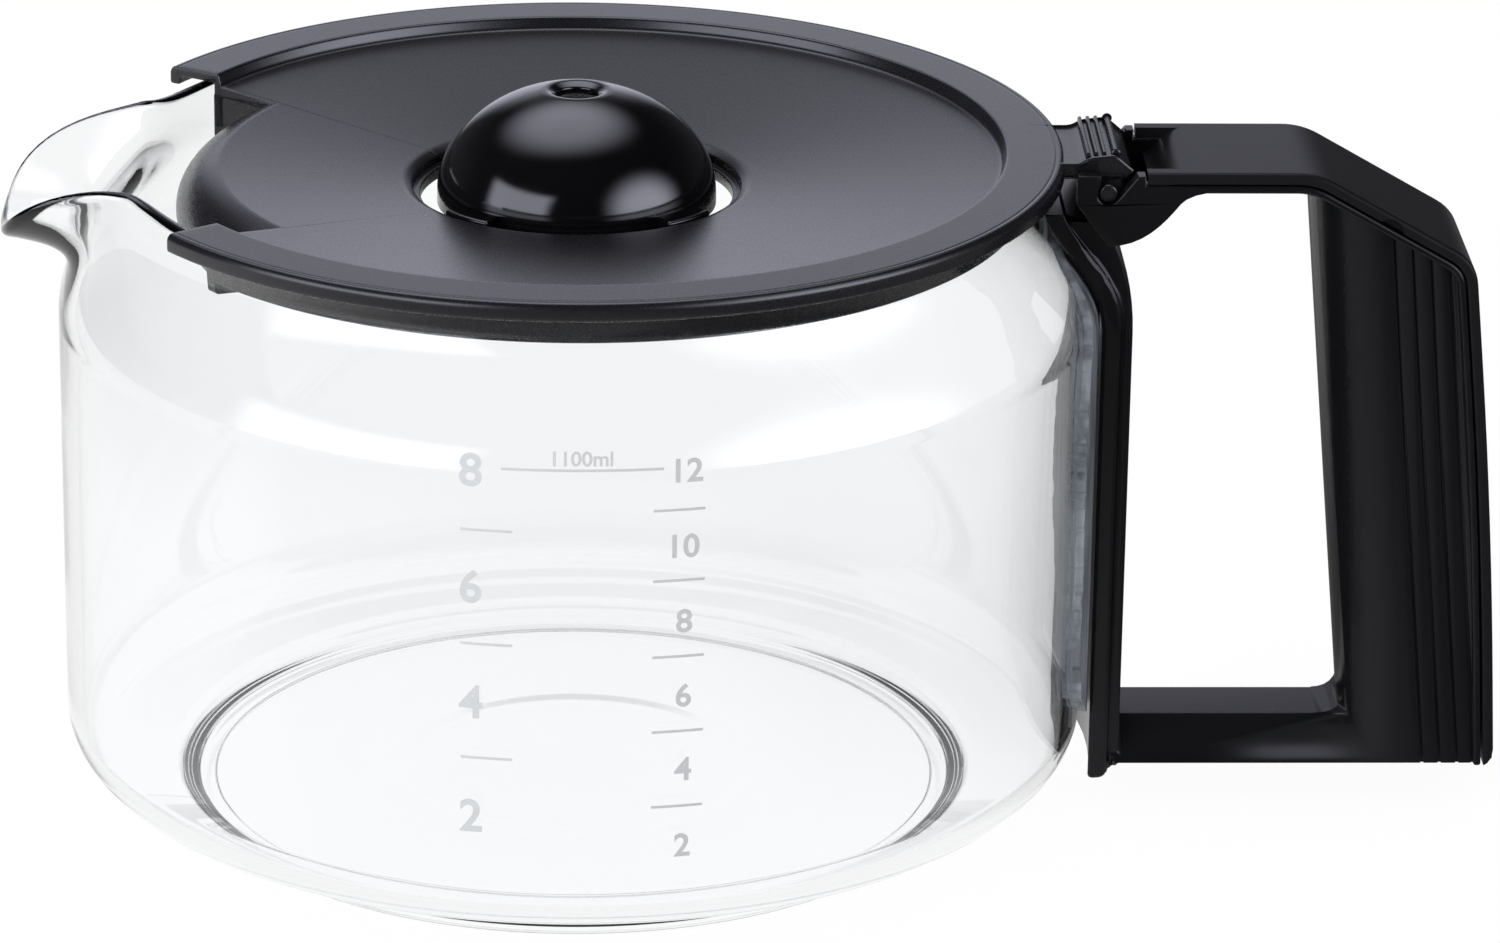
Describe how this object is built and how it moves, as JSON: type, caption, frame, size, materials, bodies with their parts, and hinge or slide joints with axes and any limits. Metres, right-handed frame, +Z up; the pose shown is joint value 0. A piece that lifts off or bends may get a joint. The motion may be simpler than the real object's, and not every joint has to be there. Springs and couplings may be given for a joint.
{
  "type": "coffee carafe",
  "caption": "Round glass coffee jug with a drawn pouring spout, glued plastic handle, hinged lid with a domed drip cap and a thumb tab.",
  "frame": {"origin": "on the table, under the middle of the whole carafe from spout tip to handle", "axes": "+X from the spout towards the handle, +Z up along the jug's axis"},
  "size_m": [0.219, 0.15, 0.1076],
  "materials": {
    "glass": "clear blown glass",
    "adhesive": "cured silicone",
    "handle": "satin",
    "handle_cover": "satin",
    "lid": "fine satin",
    "dome": "gloss"
  },
  "bodies": {
    "jug": {"glass_jug": "glass", "handle_bond": "adhesive", "handle_frame": "handle", "handle_cover": "handle_cover"},
    "lid": {"lid": "lid", "drip_dome": "dome"}
  },
  "joints": [
    {"name": "lid_hinge", "type": "hinge", "parent": "jug", "child": "lid", "pos_m": [0.0496, 0, 0.0959], "axis": [0, 1, 0], "range_deg": [0, 90]}
  ]
}
